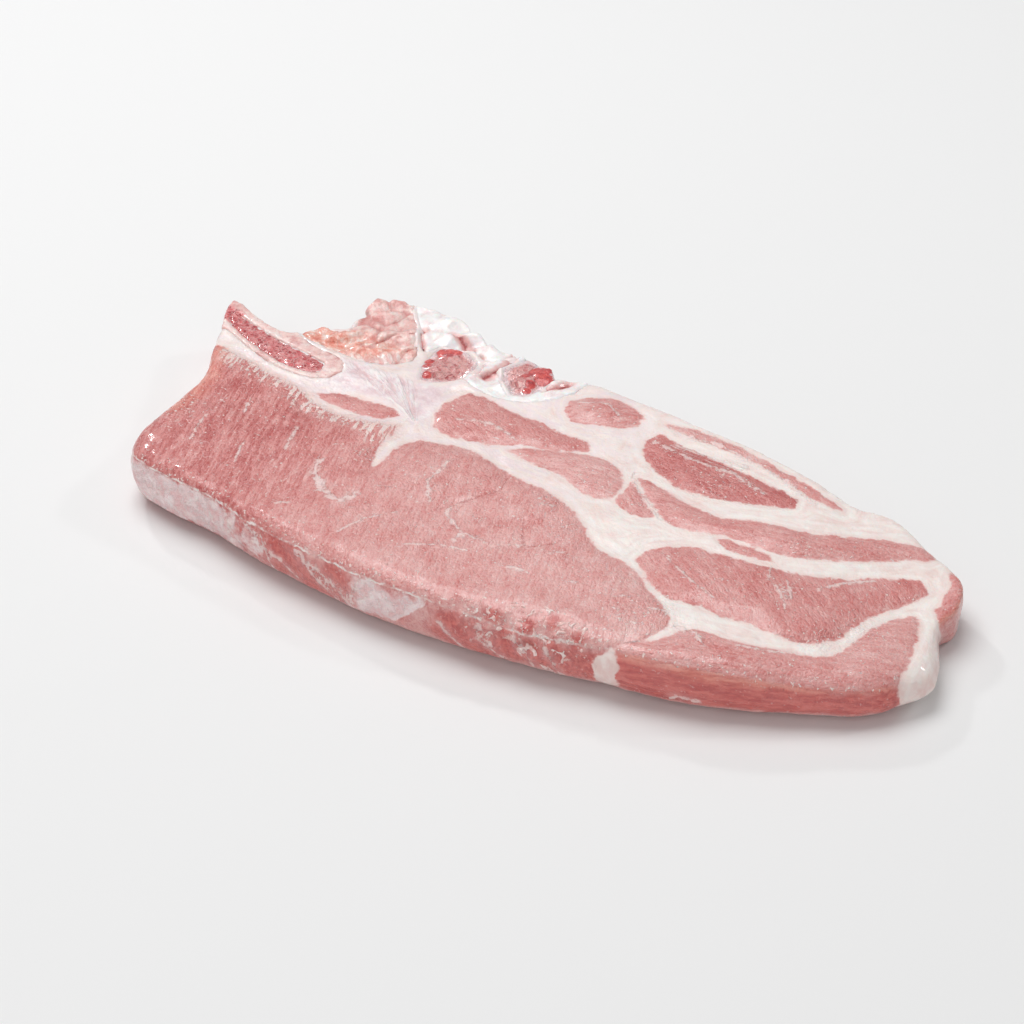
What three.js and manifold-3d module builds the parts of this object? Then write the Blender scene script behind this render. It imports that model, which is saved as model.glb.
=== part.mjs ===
// Raw bone-in pork chop lying on one of its two cut faces. Millimetres, +Z up.
// The chop is one slice, so every muscle, bone and seam of fat runs through its thickness.
import * as THREE from "three";
import { mergeVertices } from "three/addons/utils/BufferGeometryUtils.js";
import Module from "manifold-3d";

const wasm = await Module();
wasm.setup();

// Driving dimensions
const sliceThickness = 15;
const thinRight = { from: 45, to: 92, fall: 3.8 };
const underRounding = 5.5;
const topRounding = 2.6;
const pieceGap = 0.3;
const crownHeight = 0.8;
const crownReach = 5;
const rimSteps = 156;
const seamStep = 4.2;
const reliefStep = 5;

// The outlines below are measured from a point near the middle of the big muscle. This is
// the middle of the whole slice in those measures, and it becomes the part's origin.
const middle = { x: -11.5, y: 9.8 };

// Materials
const looks = {
  lean: { color: 0xd98d88, roughness: 0.42 },
  darkLean: { color: 0xc46a68, roughness: 0.42 },
  rimLean: { color: 0xcf7068, roughness: 0.4 },
  fat: { color: 0xf1dfd8, roughness: 0.5 },
  gristle: { color: 0xf3ebe9, roughness: 0.35 },
  bone: { color: 0xecd3cb, roughness: 0.5 },
  marrow: { color: 0xb8323a, roughness: 0.6 },
};

// Rim of the slice, anticlockwise from the tip of the rib: x and y of the top edge, how far
// the edges are rounded (0 sawn, 1 soft), how far the side bulges, and how torn it is.
const rim = [
  [-121.5, 35.5, 0, 0, 0.2], [-117.5, 26.5, 0, 0, 0.3], [-112.5, 18, 0.2, 0, 0.5],
  [-106, 8, 0.4, 0.3, 0.4], [-102.6, -1, 0.6, 0.8, 0.3], [-101.2, -13, 0.7, 1.2, 0.2],
  [-100.2, -24, 0.8, 1.4, 0], [-96, -31, 1, 1.2, 0], [-85, -33.4, 1, 1, 0],
  [-70, -33.6, 1, 1.6, 0], [-55, -35.4, 1, 2.6, 0], [-38, -36.8, 1, 2.6, 0],
  [-20, -38.2, 1, 1.8, 0], [-6, -37.2, 1, 2, 0], [5, -35, 1, 3, 0.1],
  [16, -32.6, 1, 4.4, 0.2], [30, -30.2, 1, 3.6, 0.1], [45, -27.5, 1, 3, 0],
  [58, -24.5, 1, 2, 0], [67, -20, 1, 2.6, 0], [76, -14.5, 1, 3.2, 0],
  [86, -9, 1, 3, 0], [92, -2, 1, 3.4, 0], [93.2, 4, 0.9, 6, 0],
  [92.6, 12, 0.6, 3, 0], [91.2, 20, 0.4, 0.4, 0.3], [93, 25.5, 0.3, 0, 0.5],
  [91.8, 31, 0.3, 0, 0.3], [88.3, 35.5, 0.5, 0, 0], [80, 39, 0.6, 0, 0],
  [72, 43, 0.6, 0, 0], [66, 44, 0.6, 0, 0.2], [59, 42.3, 0.6, 0, 0.2],
  [50, 45, 0.6, 0, 0.2], [35, 48.3, 0.6, 0, 0], [15, 50.5, 0.6, 0, 0],
  [-5, 51.8, 0.6, 0, 0.2], [-20, 52, 0.5, 0, 0.4], [-28, 49, 0.2, 0, 0.3],
  [-31, 51.5, 0.2, 0, 0.6], [-42, 53, 0.2, 0, 1], [-55, 55, 0.2, 0, 0.8],
  [-66, 59, 0.2, 0, 0.6], [-73, 60, 0.2, 0, 0.8], [-81, 57.5, 0.2, 0, 1],
  [-88.5, 54, 0.2, 0, 1], [-88.5, 47, 0.2, 0, 1], [-87.5, 41, 0.2, 0, 1],
  [-92.5, 36.5, 0.2, 0, 1], [-98, 31.3, 0.1, 0, 0.6], [-104, 30.5, 0, 0, 0],
  [-113, 33, 0, 0, 0],
];

// Side of the slice from the resting face up: height as a share of the thickness, how much
// of the rounding under it and above it is taken off there, and how much of the bulge is out.
const sideProfile = [
  { height: 0, under: 1, above: 0, bulge: 0 },
  { height: 0.1, under: 0.44, above: 0, bulge: 0.35 },
  { height: 0.26, under: 0.12, above: 0, bulge: 0.85 },
  { height: 0.5, under: 0, above: 0, bulge: 1 },
  { height: 0.76, under: 0, above: 0, bulge: 0.7 },
  { height: 0.91, under: 0, above: 0.1, bulge: 0.3 },
  { height: 0.98, under: 0, above: 0.45, bulge: 0 },
  { height: 1.06, under: 0, above: 1.4, bulge: 0 },
];

// Plan outlines of the pieces, in the order in which they are cut from the slice. Where an
// outline runs past the rim, the piece comes out at the side there.
const bones = [
  { name: "rib_marrow", look: "marrow", lift: -0.5, outline: [
    [-118.3, 31], [-112, 29.2], [-104, 27.3], [-95, 25.5], [-86, 24.4], [-80.3, 22.8],
    [-80.5, 20], [-88, 18.5], [-98, 20], [-108, 23.3], [-115, 26.7]] },
  { name: "rib_bone", look: "bone", lift: 0.5, outline: [
    [-126, 39], [-112, 37], [-100.5, 33.5], [-90, 29.3], [-80, 27.6], [-75.5, 25],
    [-76, 19.5], [-82, 16.6], [-92, 16.6], [-102, 19], [-112, 22.6], [-124, 26]] },
  { name: "chine_bone_left", look: "marrow", lift: -0.3, outline: [
    [-61.3, 46], [-55, 48], [-50, 46.5], [-47.7, 42], [-48.5, 37], [-52.5, 32.5],
    [-57, 30.7], [-60, 35], [-62, 41]] },
  { name: "chine_bone_right", look: "marrow", lift: -0.3, outline: [
    [-42, 45.5], [-40.5, 51], [-37, 58], [-30, 58], [-28, 50], [-28.5, 44],
    [-30.5, 38.5], [-34, 37.5], [-38.5, 40.5]] },
];
const gristle = [
  { name: "rib_cartilage", look: "gristle", lift: 0.1, outline: [
    [-79, 28], [-66, 28.3], [-56, 29.3], [-49, 30], [-46.3, 24], [-45, 17.5],
    [-50, 16.4], [-57, 18.8], [-65, 18.5], [-74, 16.4], [-79, 18.3]] },
  { name: "chine_gristle_left", look: "gristle", lift: 0.2, outline: [
    [-80, 64], [-66, 66], [-50, 63], [-44, 60], [-43.4, 52.5], [-47.5, 47.5],
    [-54, 45.5], [-60, 43], [-63, 40.5], [-66, 42.5], [-69.5, 47], [-73, 52], [-78, 57]] },
  { name: "chine_gristle_right", look: "gristle", lift: 0.2, outline: [
    [-50, 45], [-48.5, 37], [-40, 34.6], [-30, 35.5], [-24, 39.5], [-20.5, 45.5],
    [-21.5, 60], [-30, 63], [-42.5, 60], [-44.5, 52]] },
];
const muscles = [
  { name: "chine_trim", look: "rimLean", lift: 0.3, outline: [
    [-101, 33], [-98, 42], [-96, 62], [-84, 66], [-76, 57.5], [-70, 48.5],
    [-65, 41.5], [-63.5, 36], [-67, 31.5], [-76, 29.3], [-88, 30.2]] },
  { name: "rib_muscle", look: "darkLean", lift: 0.1, outline: [
    [-75.5, 12.8], [-70, 15.5], [-63, 16.2], [-57, 17.6], [-51.5, 16.2], [-53.5, 12.6],
    [-60, 11], [-68, 10.8]] },
  { name: "loin_eye", look: "lean", lift: 0.2, outline: [
    [-114, 14.5], [-104, 15.8], [-92, 14.6], [-80, 13], [-72, 9.7], [-64, 9],
    [-55, 10.2], [-48.5, 12.5], [-47.3, 7], [-47, 1], [-44.9, -3.5], [-42.9, -6.5],
    [-43.1, -1], [-43.7, 4], [-41.5, 9.8], [-36, 11.2], [-30, 13.2], [-22, 11.8],
    [-15, 9.4], [-5, 8.6], [3, 6.8], [10, 2.8], [16, -2], [22, -4],
    [29, -5], [36, -9.6], [42.5, -13.6], [46.5, -18], [42.8, -24.5], [37, -30],
    [33, -46], [10, -56], [-30, -58], [-70, -54], [-104, -44], [-114, -20]] },
  { name: "left_muscle", look: "darkLean", lift: 0.1, outline: [
    [-43, 32.5], [-36, 32.6], [-28, 31.2], [-20, 31], [-14, 29.8], [-6, 30.2],
    [-3.8, 27.8], [-8, 25], [-15, 22.4], [-21, 20.8], [-25, 17.4], [-31, 16.4],
    [-37, 15], [-41, 16.2], [-44.5, 20], [-45, 27]] },
  { name: "lens_muscle", look: "lean", lift: 0.1, outline: [
    [-21.5, 18], [-14, 16.8], [-6, 15.6], [1, 13.4], [6, 12], [10.6, 13.6],
    [11, 18], [8.5, 23], [4, 26.2], [-4, 25.8], [-11, 23.2], [-18, 20.6]] },
  { name: "round_muscle", look: "lean", lift: 0.1, outline: [
    [-19.6, 42], [-15.5, 46], [-12, 48.8], [-6, 48.4], [-0.5, 46], [0, 43],
    [-3, 39.4], [-6.5, 38.2], [-9.5, 38], [-12, 35.6], [-16.5, 36.4]] },
  { name: "dark_muscle", look: "darkLean", lift: 0, outline: [
    [4.8, 38.6], [6.2, 42.6], [12, 41.6], [20, 40.6], [30, 39.4], [40, 37.8],
    [48, 36], [48.5, 33.8], [43, 30.6], [36, 28.8], [28, 26.8], [20, 26.6],
    [13, 29.6], [8, 33]] },
  { name: "back_muscle", look: "lean", lift: 0.1, outline: [
    [5, 46.4], [13, 48.4], [25, 47.6], [36, 45.4], [46, 42.8], [53, 41],
    [59.5, 39.2], [52, 38.6], [44, 40.6], [35, 43.2], [25, 45], [14, 45.4]] },
  { name: "long_wedge", look: "lean", lift: 0, outline: [
    [11.2, 22.5], [12, 18], [11.4, 14.6], [15, 12.2], [19.5, 12], [23, 13.4],
    [18.4, 17.2], [14, 20.4]] },
  { name: "long_muscle", look: "lean", lift: 0.1, outline: [
    [11.5, 24.8], [20, 23.6], [29, 21.4], [36, 21.2], [43, 24], [51, 25.6],
    [58, 28.6], [65, 33], [72, 37.2], [77.5, 39.6], [82, 38.2], [82.5, 36],
    [77, 33.4], [71.5, 28], [66, 24], [60, 19.8], [53, 16.8], [46, 16.2],
    [38.5, 15.8], [32, 13.2], [25.5, 13.6], [19.5, 17.8], [14.5, 21.6]] },
  { name: "thin_muscle", look: "lean", lift: 0, outline: [
    [39, 14.2], [45, 15.2], [52, 15.3], [54.5, 14.2], [50, 12.9], [42, 12.6]] },
  { name: "right_muscle", look: "darkLean", lift: 0.1, outline: [
    [28, 2.4], [27.4, -0.6], [31, -4.2], [36, -8], [41, -9.8], [47, -8.5],
    [53, -8.7], [60, -7], [68, -6.6], [74, -4.4], [77.3, 0], [77.8, 5],
    [79, 10.5], [81.5, 16.5], [84.6, 21.6], [86.2, 26], [84, 28.6], [79.5, 27],
    [74.5, 23.4], [68, 18], [62, 14.4], [54, 11.6], [45, 10], [35, 8.6]] },
  { name: "flap_muscle", look: "rimLean", lift: 0.2, outline: [
    [49, -18.2], [53, -15], [60, -14.2], [65, -12.4], [71, -9.8], [77, -7.2],
    [80.2, -3], [80.6, 3], [82, 10], [84.4, 15.4], [88, 18], [89.8, 14],
    [91.6, 9], [93.2, 3], [94, -3], [97, -9], [108, -16], [98, -36],
    [70, -48], [38.8, -50], [40, -35], [43.4, -28], [47.6, -22]] },
  { name: "end_muscle", look: "lean", lift: 0, outline: [
    [86.5, 38], [93, 38], [98, 30], [97, 22], [93, 19], [89.8, 20.6],
    [89.6, 25], [89.6, 29], [87.4, 33]] },
];
const pieces = [...bones, ...gristle, ...muscles];
const fatLook = "fat";

// Curve helpers
function closedCurve(points) {
  const vectors = points.map(([x, y]) => new THREE.Vector3(x - middle.x, y - middle.y, 0));
  return new THREE.CatmullRomCurve3(vectors, true, "centripetal");
}

function outlinePoints(points, step) {
  const curve = closedCurve(points);
  const count = Math.max(12, Math.round(curve.getLength() / step));
  return curve.getSpacedPoints(count).slice(0, count);
}

function smoothstep(from, to, value) {
  const share = THREE.MathUtils.clamp((value - from) / (to - from), 0, 1);
  return share * share * (3 - 2 * share);
}

function distanceToOutline(x, y, points) {
  let nearest = Infinity;
  for (let i = 0; i < points.length; i += 1) {
    const a = points[i];
    const b = points[(i + 1) % points.length];
    const along = ((x - a.x) * (b.x - a.x) + (y - a.y) * (b.y - a.y)) / a.distanceToSquared(b);
    const share = THREE.MathUtils.clamp(along, 0, 1);
    const gapX = x - a.x - share * (b.x - a.x);
    const gapY = y - a.y - share * (b.y - a.y);
    nearest = Math.min(nearest, Math.hypot(gapX, gapY));
  }
  return nearest;
}

// Solids for cutting and joining
function solidOf(geometry) {
  geometry.deleteAttribute("normal");
  geometry.deleteAttribute("uv");
  const merged = mergeVertices(geometry, 1e-4);
  return new wasm.Manifold(new wasm.Mesh({
    numProp: 3,
    vertProperties: new Float32Array(merged.attributes.position.array),
    triVerts: new Uint32Array(merged.index.array),
  }));
}

function largestBody(solid) {
  const bodies = solid.decompose();
  bodies.sort((a, b) => b.volume() - a.volume());
  return bodies[0];
}

// Thickness of the slice, which falls towards the right end
function thicknessAt(x) {
  return sliceThickness - thinRight.fall * smoothstep(thinRight.from, thinRight.to, x + middle.x);
}

// How ragged the cut face is at a point: only round the sawn backbone
function raggedAt(x, y) {
  const planX = x + middle.x;
  const planY = y + middle.y;
  const along = smoothstep(-104, -92, planX) * (1 - smoothstep(-36, -22, planX));
  return along * smoothstep(29, 36, planY);
}

function waves(x, y) {
  const broad = Math.sin(0.11 * x + 0.07 * y) + Math.sin(0.16 * y - 0.05 * x + 2);
  const fine = Math.sin(0.62 * x + 0.31 * y + 1) + Math.sin(0.71 * y - 0.44 * x);
  return { broad, fine };
}

const borders = pieces.map((piece) => outlinePoints(piece.outline, seamStep));

function topHeight(x, y) {
  const nearest = Math.min(...borders.map((border) => distanceToOutline(x, y, border)));
  const crown = crownHeight * (1 - Math.exp(-((nearest / crownReach) ** 2)));
  const { broad, fine } = waves(x, y);
  return thicknessAt(x) + crown - crownHeight + 0.22 * broad + 0.75 * fine * raggedAt(x, y);
}

// Block under the wavy cut face, larger than the slice all round
function reliefBlock(lift) {
  const half = { x: 118, y: 56 };
  const columns = Math.ceil((2 * half.x) / reliefStep);
  const rows = Math.ceil((2 * half.y) / reliefStep);
  const geometry = new THREE.BoxGeometry(2 * half.x, 2 * half.y, 2, columns, rows, 1);
  const position = geometry.attributes.position;
  for (let i = 0; i < position.count; i += 1) {
    const isTop = position.getZ(i) > 0;
    const height = isTop ? topHeight(position.getX(i), position.getY(i)) + lift : -2;
    position.setZ(i, height);
  }
  return solidOf(geometry);
}

// Loft of the rim through the side profile, closed below by the flat face it rests on
function rimLoft() {
  const curve = closedCurve(rim);
  const rings = sideProfile.map(() => []);
  for (let i = 0; i < rimSteps; i += 1) {
    const t = curve.getUtoTmapping(i / rimSteps);
    const point = curve.getPoint(t);
    const tangent = curve.getTangent(t);
    const outward = new THREE.Vector3(tangent.y, -tangent.x, 0).normalize();
    const slot = Math.floor(t * rim.length) % rim.length;
    const share = t * rim.length - Math.floor(t * rim.length);
    const next = rim[(slot + 1) % rim.length];
    const [soft, bulge, torn] = [2, 3, 4].map((k) => THREE.MathUtils.lerp(rim[slot][k], next[k], share));
    sideProfile.forEach((level, row) => {
      const height = level.height * thicknessAt(point.x);
      const crag = torn * (Math.sin(0.9 * i + 0.25 * row) + 0.6 * Math.sin(2.3 * i + 0.5 * row));
      const inset = soft * (level.under * underRounding + level.above * topRounding);
      const offset = bulge * level.bulge - inset + 0.8 * crag;
      rings[row].push(point.clone().addScaledVector(outward, offset).setZ(height));
    });
  }
  return solidOf(loftGeometry(rings));
}

function loftGeometry(rings) {
  const count = rings[0].length;
  const vertices = rings.flat().flatMap((point) => [point.x, point.y, point.z]);
  const indices = [];
  for (let row = 0; row < rings.length - 1; row += 1) {
    for (let i = 0; i < count; i += 1) {
      const a = row * count + i;
      const b = row * count + ((i + 1) % count);
      indices.push(a, b, b + count, a, b + count, a + count);
    }
  }
  const top = (rings.length - 1) * count;
  for (const [a, b, c] of THREE.ShapeUtils.triangulateShape(rings[0], [])) indices.push(a, c, b);
  for (const [a, b, c] of THREE.ShapeUtils.triangulateShape(rings.at(-1), [])) {
    indices.push(top + a, top + b, top + c);
  }
  const geometry = new THREE.BufferGeometry();
  geometry.setAttribute("position", new THREE.Float32BufferAttribute(vertices, 3));
  geometry.setIndex(indices);
  return geometry;
}

// Upright prism over a plan outline, grown sideways to leave the gap to its neighbours
function prism(points, grow) {
  const count = points.length;
  const shape = new THREE.Shape(points.map((point, i) => {
    const before = points[(i + count - 1) % count];
    const after = points[(i + 1) % count];
    const across = new THREE.Vector2(after.y - before.y, before.x - after.x).normalize();
    const turn = Math.sign(THREE.ShapeUtils.area(points));
    return new THREE.Vector2(point.x, point.y).addScaledVector(across, grow * turn);
  }));
  const height = sliceThickness + 8;
  const geometry = new THREE.ExtrudeGeometry(shape, { depth: height, bevelEnabled: false });
  geometry.translate(0, 0, -4);
  return solidOf(geometry);
}

// Cuts each piece from the slice in turn, and leaves the fat between them
const rimSolid = rimLoft();
const slice = rimSolid.intersect(reliefBlock(0));
const meat = new THREE.Group();
let fat = slice;
let taken = null;

function addPiece(name, look, solid) {
  const mesh = solid.getMesh();
  const geometry = new THREE.BufferGeometry();
  geometry.setAttribute("position", new THREE.Float32BufferAttribute(mesh.vertProperties, 3));
  geometry.setIndex(Array.from(mesh.triVerts));
  geometry.computeVertexNormals();
  const material = new THREE.MeshStandardMaterial({ ...looks[look], metalness: 0 });
  const piece = new THREE.Mesh(geometry, material);
  piece.name = name;
  meat.add(piece);
}

pieces.forEach((piece, index) => {
  const raised = piece.lift === 0 ? slice : rimSolid.intersect(reliefBlock(piece.lift));
  let solid = raised.intersect(prism(borders[index], 0));
  if (taken) solid = solid.subtract(taken);
  const grown = prism(borders[index], pieceGap);
  taken = taken ? taken.add(grown) : grown;
  addPiece(piece.name, piece.look, largestBody(solid));
});

fat = largestBody(fat.subtract(taken));
addPiece("seam_fat", fatLook, fat);

export default meat;
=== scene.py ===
import bmesh
import bpy
import numpy as np
from mathutils import Matrix, Vector, noise


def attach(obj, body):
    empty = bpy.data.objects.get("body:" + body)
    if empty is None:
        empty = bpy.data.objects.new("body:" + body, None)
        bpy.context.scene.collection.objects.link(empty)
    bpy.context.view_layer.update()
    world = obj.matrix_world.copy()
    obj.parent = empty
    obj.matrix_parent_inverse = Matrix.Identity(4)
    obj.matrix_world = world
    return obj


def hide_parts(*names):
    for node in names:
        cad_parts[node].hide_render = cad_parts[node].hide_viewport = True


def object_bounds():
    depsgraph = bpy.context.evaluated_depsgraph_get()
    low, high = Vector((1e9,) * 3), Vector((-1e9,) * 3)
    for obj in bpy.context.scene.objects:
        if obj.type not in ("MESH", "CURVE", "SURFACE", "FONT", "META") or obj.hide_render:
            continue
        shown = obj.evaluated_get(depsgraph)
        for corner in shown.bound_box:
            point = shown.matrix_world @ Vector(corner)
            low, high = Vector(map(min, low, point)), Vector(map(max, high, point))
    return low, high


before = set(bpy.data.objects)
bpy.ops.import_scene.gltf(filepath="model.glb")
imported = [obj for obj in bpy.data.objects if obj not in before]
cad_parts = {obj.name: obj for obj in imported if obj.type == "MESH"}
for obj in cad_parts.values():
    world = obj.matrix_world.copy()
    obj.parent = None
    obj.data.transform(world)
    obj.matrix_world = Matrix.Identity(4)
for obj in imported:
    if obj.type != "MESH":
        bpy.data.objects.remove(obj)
cad_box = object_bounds()
scene = bpy.context.scene


# Camera
# The chop is seen from its flap end and its outer edge, looking down at about 35 degrees.
# The lens is longer than a standard one, so that the slice fills the picture.
view_from = Vector((0.2625, -0.3568, 0.3307))
view_up = Vector((-0.3019, 0.4821, 0.8224))
view_aim = Vector((0.0, -0.004, 0.007))
view_lens_mm = 82

ahead = (view_aim - view_from).normalized()
rightward = ahead.cross(view_up).normalized()
upward = rightward.cross(ahead)
turn = Matrix((rightward, upward, -ahead)).transposed().to_4x4()
camera = bpy.data.objects.new("camera", bpy.data.cameras.new("camera"))
camera.data.lens = view_lens_mm
camera.data.clip_start = 0.01
camera.matrix_world = Matrix.Translation(view_from) @ turn
scene.collection.objects.link(camera)
scene.camera = camera


# Floor and studio light
# A plain pale floor under a broad soft light from above and behind on the left, with a
# weaker fill in front and two small lamps behind that put the glints on the wet surface.
floor_half = 3.0
floor_colour = (0.86, 0.86, 0.86, 1)
lamps = [
    {"name": "soft_top", "at": (-0.35, 0.1, 1.1), "size": 0.9, "watts": 8.6},
    {"name": "front_fill", "at": (0.4, -1.1, 0.55), "size": 2.0, "watts": 6.2},
    {"name": "glint_left", "at": (-1.0, 0.55, 0.8), "size": 0.1, "watts": 2.6},
    {"name": "glint_right", "at": (0.75, 0.9, 0.9), "size": 0.1, "watts": 1.6},
]

bm = bmesh.new()
bmesh.ops.create_grid(bm, x_segments=1, y_segments=1, size=floor_half)
floor_mesh = bpy.data.meshes.new("floor")
bm.to_mesh(floor_mesh)
bm.free()
floor = bpy.data.objects.new("floor", floor_mesh)
scene.collection.objects.link(floor)
floor_paint = bpy.data.materials.new("pale floor")
floor_paint.use_nodes = True
floor_shader = floor_paint.node_tree.nodes["Principled BSDF"]
floor_shader.inputs["Base Color"].default_value = floor_colour
floor_shader.inputs["Roughness"].default_value = 0.9
floor_mesh.materials.append(floor_paint)

for lamp in lamps:
    light = bpy.data.lights.new(lamp["name"], "AREA")
    light.shape = "DISK"
    light.size = lamp["size"]
    light.energy = lamp["watts"]
    holder = bpy.data.objects.new(lamp["name"], light)
    holder.location = lamp["at"]
    holder.rotation_euler = (-Vector(lamp["at"])).to_track_quat("-Z", "Y").to_euler()
    scene.collection.objects.link(holder)
world = bpy.data.worlds.new("studio")
world.use_nodes = True
world.node_tree.nodes["Background"].inputs["Color"].default_value = (1, 1, 1, 1)
world.node_tree.nodes["Background"].inputs["Strength"].default_value = 0.25
scene.world = world
scene.view_settings.view_transform = "Standard"


# Flesh
# One skin over the muscles, the seams of fat between them and the gristly web beside the
# rib. It is cut meat, moist and a little uneven, and it covers the slice on both faces.

# Each muscle's tone, from pale at 0 to dark at 1, and the way its grain runs, in degrees
muscles = {
    "loin_eye": (0.44, -68),
    "left_muscle": (0.55, -20),
    "lens_muscle": (0.4, 10),
    "round_muscle": (0.45, 40),
    "dark_muscle": (0.74, -12),
    "back_muscle": (0.42, -8),
    "long_wedge": (0.45, -40),
    "long_muscle": (0.48, 14),
    "thin_muscle": (0.5, 0),
    "right_muscle": (0.52, -35),
    "flap_muscle": (0.42, 20),
    "end_muscle": (0.5, 70),
    "rib_muscle": (0.55, 5),
}
lean_colours = [
    (0, (240, 207, 202)), (0.3, (229, 174, 170)), (0.62, (213, 134, 130)), (1, (186, 84, 82))
]
bloody_colours = [(0, (216, 108, 99)), (0.5, (204, 89, 82)), (1, (190, 74, 71))]
dried_colours = [(0, (243, 172, 153)), (0.5, (237, 152, 134)), (1, (226, 132, 117))]
fat_colours = [(0.3, (238, 212, 206)), (0.45, (245, 229, 224)), (0.58, (250, 241, 236))]
web_colours = [(0.34, (228, 202, 206)), (0.48, (238, 218, 221)), (0.62, (246, 234, 234))]
membrane_colours = [(0.35, (236, 190, 190)), (0.5, (245, 216, 216)), (0.65, (252, 238, 237))]
flesh_voxel = 0.00075
flesh_smoothing = 6
node_gap_mm = 0.3
resting_height_mm = 0.3
section_height_mm = 6.5
crown_mm = 0.4
seam_groove_mm = 0.1
crease_depth_mm = 0.3
torn_dent_mm = 1.1
sunk_below_inlays_mm = 2.2
sunk_at_rib_tip_mm = 2.6
web_corner_mm = (-33.5, 4.2, 0.0)
rib_tip_mm = (-105.7, 20.4)


def merged_copy(names, swell):
    """The named solids in one mesh, each a little wider, so that their gaps close."""
    joined = bmesh.new()
    for name in names:
        part = bmesh.new()
        part.from_mesh(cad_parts[name].data)
        bmesh.ops.remove_doubles(part, verts=part.verts, dist=1e-6)
        part.normal_update()
        for vert in part.verts:
            vert.co.x += vert.normal.x * swell
            vert.co.y += vert.normal.y * swell
        mesh = bpy.data.meshes.new("part")
        part.to_mesh(mesh)
        part.free()
        joined.from_mesh(mesh)
        bpy.data.meshes.remove(mesh)
    return joined


def fine_skin(name, shape, voxel):
    """A new object whose mesh is an even, fine skin over this shape."""
    mesh = bpy.data.meshes.new(name)
    shape.to_mesh(mesh)
    shape.free()
    piece = bpy.data.objects.new(name, mesh)
    scene.collection.objects.link(piece)
    remesh = piece.modifiers.new("remesh", "REMESH")
    remesh.mode = "VOXEL"
    remesh.voxel_size = voxel
    bpy.context.view_layer.update()
    done = piece.evaluated_get(bpy.context.evaluated_depsgraph_get())
    piece.data = bpy.data.meshes.new_from_object(done)
    piece.data.name = name
    piece.modifiers.clear()
    bpy.data.meshes.remove(mesh)
    for polygon in piece.data.polygons:
        polygon.use_smooth = True
    return piece


def points_mm(mesh):
    """The mesh's points and their normals, in millimetres."""
    points = np.empty(len(mesh.vertices) * 3)
    normals = np.empty(len(mesh.vertices) * 3)
    mesh.vertices.foreach_get("co", points)
    mesh.vertex_normals.foreach_get("vector", normals)
    return points.reshape(-1, 3) * 1000, normals.reshape(-1, 3)


def put_points(mesh, points):
    mesh.vertices.foreach_set("co", (points / 1000).ravel())
    mesh.update()


def neighbour_mean(mesh, values, rounds):
    """The values averaged over each point's neighbours, a few times over."""
    ends = np.empty(len(mesh.edges) * 2, int)
    mesh.edges.foreach_get("vertices", ends)
    first, second = ends.reshape(-1, 2).T
    count = np.bincount(ends, minlength=len(values)).astype(float)
    columns = values.reshape(len(values), -1).astype(float)
    for _ in range(rounds):
        sums = [
            np.bincount(first, column[second], len(values))
            + np.bincount(second, column[first], len(values))
            for column in columns.T
        ]
        columns = 0.5 * columns + 0.5 * (np.array(sums) / count).T
    return columns.reshape(values.shape)


def plan_lines(name, height):
    """Where the level plane at this height, in millimetres, cuts a solid: its plan lines."""
    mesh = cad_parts[name].data
    mesh.calc_loop_triangles()
    corners = np.empty(len(mesh.loop_triangles) * 3, int)
    mesh.loop_triangles.foreach_get("vertices", corners)
    faces = points_mm(mesh)[0][corners.reshape(-1, 3)]
    lines = []
    for face in faces[(faces[:, :, 2].min(1) < height) & (faces[:, :, 2].max(1) > height)]:
        ends = []
        for a, b in ((face[0], face[1]), (face[1], face[2]), (face[2], face[0])):
            if (a[2] < height) != (b[2] < height):
                ends.append((a + (b - a) * (height - a[2]) / (b[2] - a[2]))[:2])
        lines.append(np.concatenate(ends))
    return np.array(lines)


def distance_to_lines(points, lines):
    """Each point's distance to the nearest line, and whether the lines go round it."""
    nearest = np.full(len(points), 1e9)
    crossings = np.zeros(len(points), int)
    for x0, y0, x1, y1 in lines:
        along_x, along_y = x1 - x0, y1 - y0
        length = max(along_x**2 + along_y**2, 1e-12)
        to_x, to_y = points[:, 0] - x0, points[:, 1] - y0
        share = np.clip((to_x * along_x + to_y * along_y) / length, 0, 1)
        away = (to_x - share * along_x) ** 2 + (to_y - share * along_y) ** 2
        nearest = np.minimum(nearest, away)
        if y0 != y1:
            beside = (y0 > points[:, 1]) != (y1 > points[:, 1])
            crossings += beside & (points[:, 0] < x0 + (points[:, 1] - y0) * along_x / along_y)
    return np.sqrt(nearest), crossings % 2 == 1


def smooth_step(low, high, values):
    share = np.clip((values - low) / (high - low), 0, 1)
    return share * share * (3 - 2 * share)


def profile(values, *stops):
    """The values read off a broken line through these (position, height) stops."""
    return np.interp(values, *zip(*stops))


def lumps(points, size, octaves=3, seed=0.0):
    """Soft random lumps of this size in millimetres, about -1 to 1, the same each run."""
    shift = Vector((seed, 2 * seed, 3 * seed))
    return np.array(
        [noise.fractal(Vector(p) / size + shift, 1.0, 2.0, octaves) for p in points]
    )


def keep_values(mesh, name, values):
    kind = "FLOAT" if values.ndim == 1 else "FLOAT_VECTOR"
    attribute = mesh.attributes.new(name, kind, "POINT")
    key = "value" if values.ndim == 1 else "vector"
    attribute.data.foreach_set(key, values.astype(np.float32).ravel())


flesh_nodes = [*muscles, "seam_fat", "rib_cartilage"]
all_nodes = sorted(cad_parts)
inlaid_nodes = [name for name in all_nodes if name not in flesh_nodes]
flesh = fine_skin("flesh", merged_copy(all_nodes, node_gap_mm / 1000), flesh_voxel)
flesh_mesh = flesh.data
points, normals = points_mm(flesh_mesh)
points = neighbour_mean(flesh_mesh, points, flesh_smoothing)
points[:, 2] = np.maximum(points[:, 2], 0)
put_points(flesh_mesh, points)
points, normals = points_mm(flesh_mesh)
x, y, z = points.T

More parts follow.
